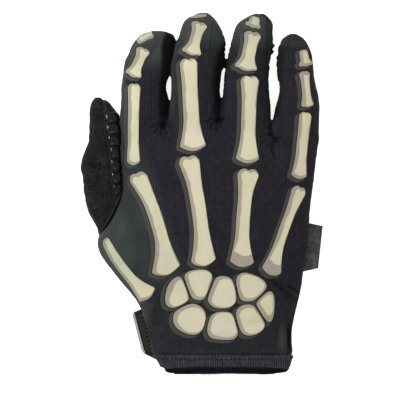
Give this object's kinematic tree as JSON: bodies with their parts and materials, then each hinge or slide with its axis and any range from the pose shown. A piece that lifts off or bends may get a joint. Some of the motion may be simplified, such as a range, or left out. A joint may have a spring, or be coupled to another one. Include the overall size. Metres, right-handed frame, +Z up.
{
  "type": "tactical glove",
  "caption": "Right-hand tactical glove lying palm down: knit back with a bone-hand print, sewn finger walls, suede thumb with rubber tread, folded cuff, wrist strap with pull tab.",
  "frame": {"origin": "on the surface the glove lies on, under the middle of its box", "axes": "+X from the thumb to the little finger, +Y from the wrist to the fingertips, +Z up out of the back of the hand"},
  "size_m": [0.1552, 0.2314, 0.025],
  "materials": {
    "back_knit": "matte ribbed stretch knit with a printed bone hand",
    "palm_leather": "matte synthetic leather",
    "suede": "napped synthetic suede",
    "tread_rubber": "glossy moulded rubber",
    "webbing": "matte hook and loop strap",
    "tab_rubber": "semi-gloss moulded rubber",
    "label_tape": "dull woven tape"
  },
  "bodies": {
    "root": {"back_panel": "back_knit", "palm_panel": "palm_leather", "fourchette_index_middle": "back_knit", "fourchette_middle_ring": "back_knit", "fourchette_ring_little": "back_knit", "little_tip_cap": "suede", "ring_tip_cap": "suede", "cuff_hem": "back_knit", "thumb_back": "suede", "thumb_pad": "palm_leather", "thumb_tread_1": "tread_rubber", "thumb_tread_2": "tread_rubber", "thumb_tread_3": "tread_rubber", "thumb_tread_4": "tread_rubber", "thumb_tread_5": "tread_rubber", "thumb_tread_6": "tread_rubber", "thumb_tread_7": "tread_rubber", "closure_strap": "webbing", "pull_tab": "tab_rubber", "side_label": "label_tape"}
  },
  "joints": []
}
